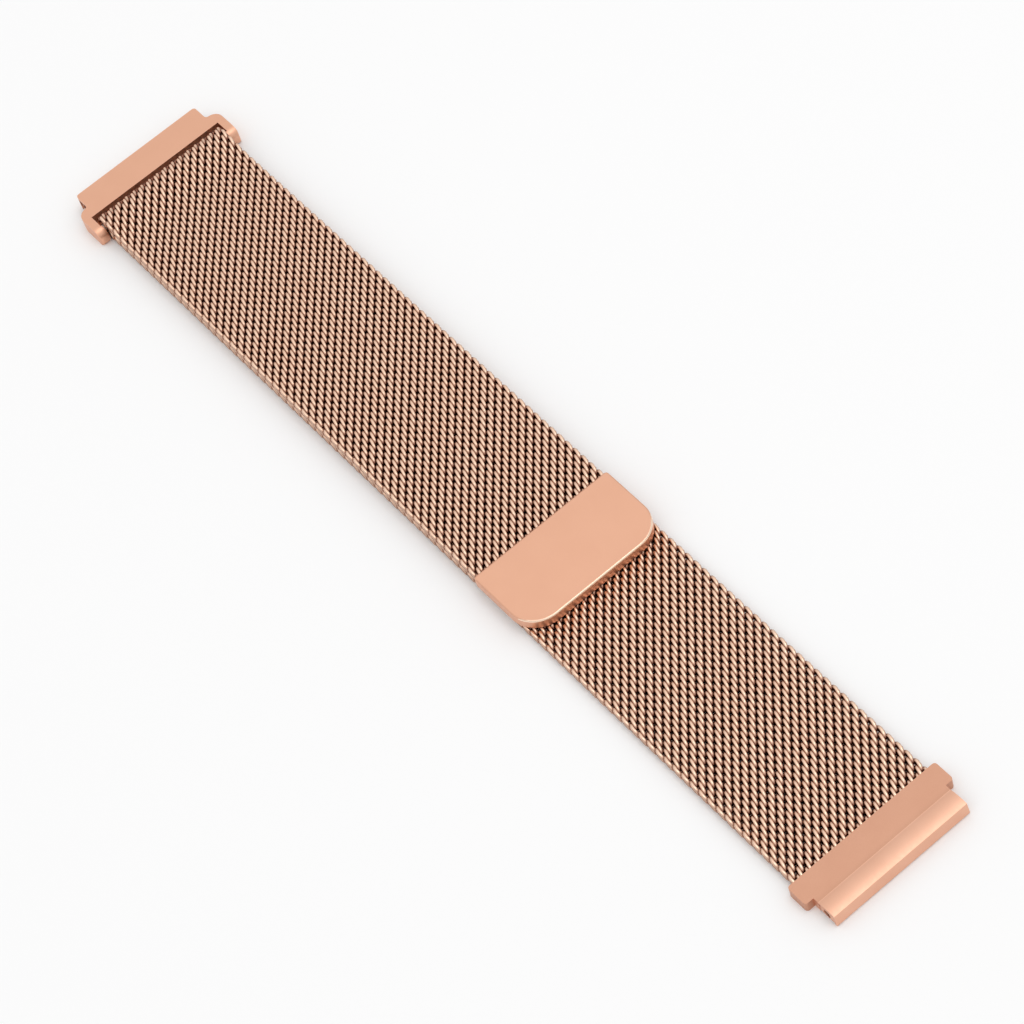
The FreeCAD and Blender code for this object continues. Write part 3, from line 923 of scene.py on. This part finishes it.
@dataclass
class LoopEnd:
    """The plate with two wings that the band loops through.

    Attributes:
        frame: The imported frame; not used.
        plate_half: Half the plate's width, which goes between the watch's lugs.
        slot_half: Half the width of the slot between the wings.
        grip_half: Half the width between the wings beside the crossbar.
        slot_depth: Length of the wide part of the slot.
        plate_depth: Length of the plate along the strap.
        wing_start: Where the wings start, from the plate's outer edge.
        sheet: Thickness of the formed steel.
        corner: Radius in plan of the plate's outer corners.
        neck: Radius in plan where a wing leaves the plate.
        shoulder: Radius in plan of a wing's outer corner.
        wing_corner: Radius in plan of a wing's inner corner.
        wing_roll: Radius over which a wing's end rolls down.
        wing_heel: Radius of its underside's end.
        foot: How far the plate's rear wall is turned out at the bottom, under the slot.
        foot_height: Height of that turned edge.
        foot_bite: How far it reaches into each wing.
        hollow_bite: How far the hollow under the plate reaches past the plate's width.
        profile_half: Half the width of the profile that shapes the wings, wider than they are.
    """

    frame: dict[str, Any]
    plate_half: float = 10.9 * MM
    slot_half: float = 11.6 * MM
    grip_half: float = 11.35 * MM
    slot_depth: float = 2.3 * MM
    plate_depth: float = 5.0 * MM
    wing_start: float = 3.0 * MM
    sheet: float = 0.5 * MM
    corner: float = 0.45 * MM
    neck: float = 0.5 * MM
    shoulder: float = 1.5 * MM
    wing_corner: float = 0.6 * MM
    wing_roll: float = 1.6 * MM
    wing_heel: float = 0.6 * MM
    foot: float = 0.45 * MM
    foot_height: float = 0.25 * MM
    foot_bite: float = 0.1 * MM
    hollow_bite: float = 0.5 * MM
    profile_half: float = 20.0 * MM

    def plan(self, outer: float, wing_end: float, wing: float) -> list[Point]:
        """Outline of the cover seen from above, with the slot open to the band's side.

        Args:
            outer: The plate's outer edge.
            wing_end: The wings' ends.
            wing: Half the width over the wings.

        Returns:
            Points in (x, y), round one side and back along the other.
        """
        start = outer + self.wing_start
        plate_end = outer + self.plate_depth
        slot_end = plate_end + self.slot_depth
        corner, neck, shoulder, end = self.corner, self.neck, self.shoulder, self.wing_corner
        side = [
            *arc((outer + corner, self.plate_half - corner), corner, 180, 90, CORNER_STEPS),
            *arc((start - neck, self.plate_half + neck), neck, -90, 0, CORNER_STEPS),
            *arc((start + shoulder, wing - shoulder), shoulder, 180, 90, 2 * CORNER_STEPS),
            *arc((wing_end - end, wing - end), end, 90, 0, CORNER_STEPS + 1),
            (wing_end, self.grip_half),
            (slot_end, self.grip_half),
            (slot_end, self.slot_half),
            (plate_end, self.slot_half),
        ]
        return side + [(x, -y) for x, y in reversed(side)]

    def build(self, satin: bpy.types.Material) -> None:
        """Builds the cover and hands it to its body.

        Args:
            satin: The cover's material.
        """
        low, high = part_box("loop_end_cover")
        outer, wing_end, top = low.x, high.x, high.z
        plate_end = outer + self.plate_depth
        plan = self.plan(outer, wing_end, high.y)
        plate = prism("loop_end_cover_shell", plan, Along.UP, 0.0, top)
        roll, heel = self.wing_roll, self.wing_heel
        profile = prism(
            "loop_end_profile",
            [
                (outer - OVERRUN, -OVERRUN),
                (wing_end - heel, 0.0),
                *arc((wing_end - heel, heel), heel, -90, 0, CORNER_STEPS + 1)[1:],
                *arc((wing_end - roll, top - roll), roll, 0, 90, 2 * CORNER_STEPS),
                (outer - OVERRUN, top),
            ],
            Along.ACROSS,
            -self.profile_half,
            self.profile_half,
        )
        combine(plate, profile, Operation.KEEP)
        hollow = prism(
            "loop_end_hollow",
            [
                (outer + self.sheet, -OVERRUN),
                (outer + self.sheet, top - self.sheet),
                (plate_end - self.sheet, top - self.sheet),
                (plate_end - self.sheet, -OVERRUN),
            ],
            Along.ACROSS,
            -self.plate_half - self.hollow_bite,
            self.plate_half + self.hollow_bite,
        )
        combine(plate, hollow, Operation.CUT)
        foot = prism(
            "loop_end_foot",
            [
                (plate_end - self.sheet, 0.0),
                (plate_end + self.foot, 0.0),
                (plate_end + self.foot, self.foot_height),
                (plate_end - self.sheet, self.foot_height),
            ],
            Along.ACROSS,
            -self.slot_half - self.foot_bite,
            self.slot_half + self.foot_bite,
        )
        combine(plate, foot, Operation.ADD)
        soften(plate)
        dress(plate, satin)
        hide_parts("loop_end_cover")
        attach(plate, "loop_end")
        LOG.info("%s: %d faces", plate.name, len(plate.data.polygons))


@dataclass
class FixedEnd:
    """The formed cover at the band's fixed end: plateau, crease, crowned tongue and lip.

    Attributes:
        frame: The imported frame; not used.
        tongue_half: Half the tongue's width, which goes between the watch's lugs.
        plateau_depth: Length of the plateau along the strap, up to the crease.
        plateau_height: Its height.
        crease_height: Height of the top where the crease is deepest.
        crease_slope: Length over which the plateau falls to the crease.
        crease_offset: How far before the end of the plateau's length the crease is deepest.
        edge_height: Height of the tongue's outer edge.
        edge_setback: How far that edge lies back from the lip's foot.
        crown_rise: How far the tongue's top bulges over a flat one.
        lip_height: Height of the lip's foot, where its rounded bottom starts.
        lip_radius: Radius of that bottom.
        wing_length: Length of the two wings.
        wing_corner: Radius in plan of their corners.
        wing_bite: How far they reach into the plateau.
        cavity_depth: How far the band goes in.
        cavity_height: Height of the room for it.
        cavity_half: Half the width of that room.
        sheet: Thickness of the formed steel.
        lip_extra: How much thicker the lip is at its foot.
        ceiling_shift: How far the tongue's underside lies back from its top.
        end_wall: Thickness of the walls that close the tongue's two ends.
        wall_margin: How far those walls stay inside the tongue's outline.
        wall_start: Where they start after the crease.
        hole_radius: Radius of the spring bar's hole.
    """

    frame: dict[str, Any]
    tongue_half: float = 10.9 * MM
    plateau_depth: float = 4.3 * MM
    plateau_height: float = 1.85 * MM
    crease_height: float = 1.84 * MM
    crease_slope: float = 0.6 * MM
    crease_offset: float = 0.1 * MM
    edge_height: float = 2.1 * MM
    edge_setback: float = 0.3 * MM
    crown_rise: float = 0.19 * MM
    lip_height: float = 0.35 * MM
    lip_radius: float = 0.3 * MM
    wing_length: float = 3.4 * MM
    wing_corner: float = 0.45 * MM
    wing_bite: float = 0.4 * MM
    cavity_depth: float = 2.9 * MM
    cavity_height: float = 1.52 * MM
    cavity_half: float = 11.3 * MM
    sheet: float = 0.4 * MM
    lip_extra: float = 0.1 * MM
    ceiling_shift: float = 0.35 * MM
    end_wall: float = 0.4 * MM
    wall_margin: float = 0.3 * MM
    wall_start: float = 0.2 * MM
    hole_radius: float = 0.6 * MM

    def crown(self, start: Point, end: Point, steps: int) -> list[Point]:
        """The tongue's crowned top, a round stretch that rises from the crease to the outer edge.

        Args:
            start: The crease, as (x, z).
            end: The outer edge.
            steps: How many straight pieces the stretch has.

        Returns:
            The points after start, up to and with end.
        """
        points = []
        for i in range(1, steps + 1):
            share = i / steps
            x = start[0] + (end[0] - start[0]) * share
            level = start[1] + (end[1] - start[1]) * share
            points.append((x, level + 4 * self.crown_rise * share * (1 - share)))
        return points

    def profile(self, rear: float, outer: float) -> list[Point]:
        """Outline of the formed sheet seen from the side.

        Args:
            rear: Where the band enters.
            outer: The lip's outer face.

        Returns:
            Points in (x, z) along the top to the lip and back inside.
        """
        crease = rear + self.plateau_depth
        edge = (outer - self.edge_setback, self.edge_height)
        radius = self.lip_radius
        deepest = (crease - self.crease_offset, self.crease_height)
        ceiling = self.crown((crease, self.crease_height), edge, LONG_STEPS // 2)
        return [
            (rear, self.plateau_height),
            (deepest[0] - self.crease_slope, self.plateau_height),
            deepest,
            *self.crown(deepest, edge, LONG_STEPS),
            (outer, self.lip_height),
            *arc((outer - radius, radius), radius, 0, -90, CORNER_STEPS),
            (outer - self.sheet - self.lip_extra, 0.0),
            *[(x - self.ceiling_shift, z - self.sheet) for x, z in reversed(ceiling)],
            (crease + self.crease_offset, 0.0),
            (rear, 0.0),
        ]

    def add_side(self, cover: bpy.types.Object, side: int) -> None:
        """Adds the wing and closes the tongue's end on one side.

        Args:
            cover: The formed sheet.
            side: -1 or 1, the side's sign on Y.
        """
        low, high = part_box("fixed_end_cover")
        rear, outer, wing = low.x, high.x, high.y
        corner, end = self.wing_corner, rear + self.wing_length
        plan = [
            (rear, self.tongue_half - self.wing_bite),
            (rear, wing - corner),
            *arc((rear + corner, wing - corner), corner, 180, 90, CORNER_STEPS)[1:],
            *arc((end - corner, wing - corner), corner, 90, 0, CORNER_STEPS),
            (end, self.tongue_half - self.wing_bite),
        ]
        ear = prism("ear", [(x, side * y) for x, y in plan], Along.UP, 0.0, self.plateau_height)
        combine(cover, ear, Operation.ADD)
        start, margin = rear + self.plateau_depth + self.wall_start, self.wall_margin
        wall = prism(
            "end_wall",
            [
                (start, margin),
                (outer - margin, margin),
                (outer - margin, self.edge_height - margin),
                (start, self.crease_height - margin),
            ],
            Along.ACROSS,
            *sorted((side * (self.tongue_half - self.end_wall), side * self.tongue_half)),
        )
        combine(cover, wall, Operation.ADD)

    def build(self, matte_painted_shade: bpy.types.Material, brushed_painted_highlight: bpy.types.Material) -> None:
        """Builds the cover and hands it to its body.

        Args:
            matte_painted_shade: Material of the plateau, darker in colour: painted shade.
            brushed_painted_highlight: Material of the tongue, paler in colour: painted highlight.
        """
        low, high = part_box("fixed_end_cover")
        rear, wing = low.x, high.y
        cover = prism(
            "fixed_end_cover_shell",
            self.profile(rear, high.x),
            Along.ACROSS,
            -self.tongue_half,
            self.tongue_half,
        )
        for side in (-1, 1):
            self.add_side(cover, side)
        slot = prism(
            "mesh_slot",
            [
                (rear - OVERRUN, -OVERRUN),
                (rear - OVERRUN, self.cavity_height),
                (rear + self.cavity_depth, self.cavity_height),
                (rear + self.cavity_depth, -OVERRUN),
            ],
            Along.ACROSS,
            -self.cavity_half,
            self.cavity_half,
        )
        combine(cover, slot, Operation.CUT)
        tube_low, tube_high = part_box("fixed_end_tube")
        middle = (tube_low + tube_high) / 2
        hole = prism(
            "spring_bar_hole",
            arc((middle.x, middle.z), self.hole_radius, 0, 360, HOLE_STEPS)[:-1],
            Along.ACROSS,
            -wing,
            wing,
        )
        combine(cover, hole, Operation.CUT)
        soften(cover)
        dress(cover, matte_painted_shade, brushed_painted_highlight)
        # the tongue past the crease takes the paler colour, a painted highlight; the plateau the
        # darker one, painted shade
        crease = rear + self.plateau_depth - self.crease_offset
        for face in cover.data.polygons:
            face.material_index = 1 if face.center.x > crease else 0
        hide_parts("fixed_end_cover")
        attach(cover, "fixed_end")
        LOG.info("%s: %d faces", cover.name, len(cover.data.polygons))


@dataclass
class Clasp:
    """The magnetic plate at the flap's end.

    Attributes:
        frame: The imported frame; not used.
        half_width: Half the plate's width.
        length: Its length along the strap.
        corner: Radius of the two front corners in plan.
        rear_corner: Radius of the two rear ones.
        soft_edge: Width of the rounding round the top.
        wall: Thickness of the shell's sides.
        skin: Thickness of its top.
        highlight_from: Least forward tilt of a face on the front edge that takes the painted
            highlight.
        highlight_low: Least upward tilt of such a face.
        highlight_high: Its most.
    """

    frame: dict[str, Any]
    half_width: float = 11.5 * MM
    length: float = 12.3 * MM
    corner: float = 4.4 * MM
    rear_corner: float = 0.45 * MM
    soft_edge: float = 0.28 * MM
    wall: float = 0.6 * MM
    skin: float = 0.3 * MM
    highlight_from: float = 0.25
    highlight_low: float = 0.1
    highlight_high: float = 0.98

    def plan(
        self, rear: float, front: float, half: float, corner: float, steps: int
    ) -> list[Point]:
        """Outline of the plate seen from above.

        Args:
            rear: Where the band enters.
            front: The free edge.
            half: Half the width.
            corner: Radius of the front corners.
            steps: How many straight pieces a front corner has; one cuts it off straight.

        Returns:
            Points from the rear right corner round the front.
        """
        small = self.rear_corner
        right = arc((front - corner, half - corner), corner, 90, 0, steps)
        left = arc((front - corner, corner - half), corner, 0, -90, steps)
        rear_left = arc((rear + small, small - half), small, -90, -180, CORNER_STEPS - 1)
        rear_right = arc((rear + small, half - small), small, 180, 90, CORNER_STEPS - 1)
        return [*rear_right, *right, *left, *rear_left]

    def build(self, satin: bpy.types.Material, painted_highlight_edge: bpy.types.Material) -> None:
        """Builds the cover shell and hands it to its body.

        Args:
            satin: The shell's material.
            painted_highlight_edge: Material of its rounded front edge, in a paler colour: painted
                highlight.
        """
        low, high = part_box("clasp_cover")
        half, wall = self.half_width, self.wall
        front = low.x + self.length
        outline = self.plan(low.x, front, half, self.corner, LONG_STEPS)
        shell = prism("clasp_cover_shell", outline, Along.UP, low.z, high.z)
        round_top(shell, high.z, self.soft_edge)
        room = self.plan(low.x - OVERRUN, front - wall, half - wall, self.corner - wall, 1)
        hollow = prism("clasp_hollow", room, Along.UP, low.z - OVERRUN, high.z - self.skin)
        combine(shell, hollow, Operation.CUT)
        shade(shell, angle=30)
        dress(shell, satin, painted_highlight_edge)
        # faces of the rounded front edge that tilt forward take the paler colour: painted highlight
        for face in shell.data.polygons:
            on_edge = self.highlight_low < face.normal.z < self.highlight_high
            face.material_index = 1 if on_edge and face.normal.x > self.highlight_from else 0
        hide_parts("clasp_cover")
        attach(shell, "clasp")
        LOG.info("%s: %d faces", shell.name, len(shell.data.polygons))


def round_top(piece: bpy.types.Object, height: float, width: float) -> None:
    """Rounds the edges round a solid's top face.

    Args:
        piece: The solid.
        height: Height of its top.
        width: Radius of the rounding.
    """
    mesh = bmesh.new()
    mesh.from_mesh(piece.data)
    edges = [e for e in mesh.edges if all(abs(v.co.z - height) < SAME_HEIGHT for v in e.verts)]
    bmesh.ops.bevel(
        mesh, geom=edges, offset=width, segments=CORNER_STEPS, profile=0.5, affect="EDGES"
    )
    mesh.to_mesh(piece.data)
    mesh.free()


# ---------------------------------------------------------------- studio


@dataclass
class Studio:
    """White floor, soft light and the camera.

    Attributes:
        azimuth: Where the camera stands round the strap, in degrees.
        elevation: Its height above the horizon, in degrees.
        roll: How far it is turned about its own axis, in degrees.
        distance: From the point it looks at.
        target: That point.
        lens_mm: Focal length on a 36 mm sensor.
        horizon: Brightness of the surroundings at the horizon.
        zenith: Their brightness overhead.
        floor_half: Half the side of the paper floor.
        floor_depth: Its thickness.
        softbox_place: Where the softbox hangs.
        softbox_side: Its side.
        softbox_power: Its power in watts.
    """

    azimuth: float = 67.2
    elevation: float = 54.4
    roll: float = -19.85
    distance: float = 487.3 * MM
    target: tuple[float, float, float] = (5.6 * MM, -0.45 * MM, -0.3 * MM)
    lens_mm: float = 129.4
    horizon: float = 0.6
    zenith: float = 1.08
    floor_half: float = 1.5
    floor_depth: float = 0.02
    softbox_place: tuple[float, float, float] = (0.05, 0.15, 0.7)
    softbox_side: float = 0.3
    softbox_power: float = 0.5

    def camera(self) -> None:
        """Places the camera and makes it the scene's own."""
        data = bpy.data.cameras.new("camera")
        data.lens = self.lens_mm
        data.sensor_width = 36.0
        data.clip_start = 0.01
        data.clip_end = 10.0
        camera = bpy.data.objects.new("camera", data)
        a, e, r = (math.radians(v) for v in (self.azimuth, self.elevation, self.roll))
        back = Vector((math.sin(a) * math.cos(e), -math.cos(a) * math.cos(e), math.sin(e)))
        right = Vector((math.cos(a), math.sin(a), 0.0))
        up = back.cross(right)
        turned_right = math.cos(r) * right + math.sin(r) * up
        turned_up = math.cos(r) * up - math.sin(r) * right
        place = Vector(self.target) + self.distance * back
        camera.matrix_world = Matrix(
            [(turned_right[i], turned_up[i], back[i], place[i]) for i in range(3)] + [(0, 0, 0, 1)]
        )
        bpy.context.scene.collection.objects.link(camera)
        bpy.context.scene.camera = camera

    def softbox(self) -> None:
        """Hangs a square soft light over the strap, facing it."""
        data = bpy.data.lights.new("overhead_softbox", "AREA")
        data.size = self.softbox_side
        data.energy = self.softbox_power
        lamp = bpy.data.objects.new("overhead_softbox", data)
        place = Vector(self.softbox_place)
        lamp.location = place
        lamp.rotation_mode = "QUATERNION"
        lamp.rotation_quaternion = place.to_track_quat("Z", "Y")
        bpy.context.scene.collection.objects.link(lamp)

    def surroundings(self) -> None:
        """A white tent that is brighter overhead than at the horizon."""
        world = bpy.data.worlds.new("soft_studio")
        world.use_nodes = True
        tree = world.node_tree
        tree.nodes.clear()
        add = partial(add_node, tree)
        place = add("ShaderNodeTexCoord")
        parts = add("ShaderNodeSeparateXYZ", inputs={"Vector": place.outputs["Generated"]})
        strength = add(
            "ShaderNodeMapRange",
            inputs={
                "Value": parts.outputs["Z"],
                "From Min": 0.0,
                "From Max": 1.0,
                "To Min": self.horizon,
                "To Max": self.zenith,
            },
        )
        tent = add(
            "ShaderNodeBackground",
            inputs={"Color": (1.0, 1.0, 1.0, 1.0), "Strength": strength.outputs["Result"]},
        )
        add("ShaderNodeOutputWorld", inputs={"Surface": tent.outputs["Background"]})
        bpy.context.scene.world = world
        bpy.context.scene.view_settings.view_transform = "Standard"

    def build(self) -> None:
        """Builds the floor, the light, the world and the camera."""
        half = self.floor_half
        square = [(-half, -half), (half, -half), (half, half), (-half, half)]
        floor = prism("floor", square, Along.UP, -self.floor_depth, 0.0)
        # matt paper: an even white that takes a soft shadow
        paper = bpy.data.materials.new("white_paper_sweep")
        paper.use_nodes = True
        shader = paper.node_tree.nodes["Principled BSDF"]
        shader.inputs["Base Color"].default_value = linear("#FBFBFB")
        shader.inputs["Roughness"].default_value = 0.9
        dress(floor, paper)
        self.surroundings()
        self.softbox()
        self.camera()


def finish_cad_nodes(frame: dict[str, Any], finishes: dict[str, bpy.types.Material]) -> None:
    """Gives the CAD nodes that stay visible their finish.

    Args:
        frame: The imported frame.
        finishes: Material of each node by name.
    """
    for name, material in finishes.items():
        dress(frame["nodes"][name], material)


def main() -> None:
    """Builds the strap's looks and the studio."""
    logging.basicConfig(level=logging.INFO, format="%(name)s: %(message)s")
    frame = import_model()
    blasted = BLASTED_ROSE.material()
    brushed_painted_highlight = BRUSHED_PAINTED_HIGHLIGHT_ROSE.material()
    wire = DRAWN_WIRE_ROSE.material()
    bare = BARE_STEEL.material()
    nickel = NICKEL.material()

    bar = joint_place(frame, "loop_swing")
    mesh_low, mesh_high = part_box("under_mesh_2")
    flap_low, flap_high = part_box("flap_mesh_2")
    hinge = joint_place(frame, "mesh_bend_1").z
    turn_radius = bar.z - hinge
    flap_middle = (flap_low.z + flap_high.z) / 2
    flap_drop = bar.z + turn_radius - flap_middle
    route = BandRoute(bar=bar, turn_radius=turn_radius, flap_drop=flap_drop)
    weave = WovenBand(
        route=route, width=mesh_high.y - mesh_low.y, thickness=mesh_high.z - mesh_low.z
    )
    Band(frame=frame, weave=weave, wire=wire).build()
    LoopEnd(frame).build(blasted)
    FixedEnd(frame).build(MATTE_PAINTED_SHADE_ROSE.material(), brushed_painted_highlight)
    Clasp(frame).build(blasted, PAINTED_HIGHLIGHT_ROSE.material())
    finish_cad_nodes(
        frame,
        {
            "loop_end_base": blasted,
            "loop_end_tube": blasted,
            "loop_crossbar": bare,
            "fixed_end_base": blasted,
            "fixed_end_clamp_bar": bare,
            "fixed_end_tube": blasted,
            "clasp_base": blasted,
            "clasp_clamp_bar": bare,
            "clasp_magnets": nickel,
            "clasp_yoke": bare,
        },
    )
    Studio().build()


if __name__ == "__main__":
    main()
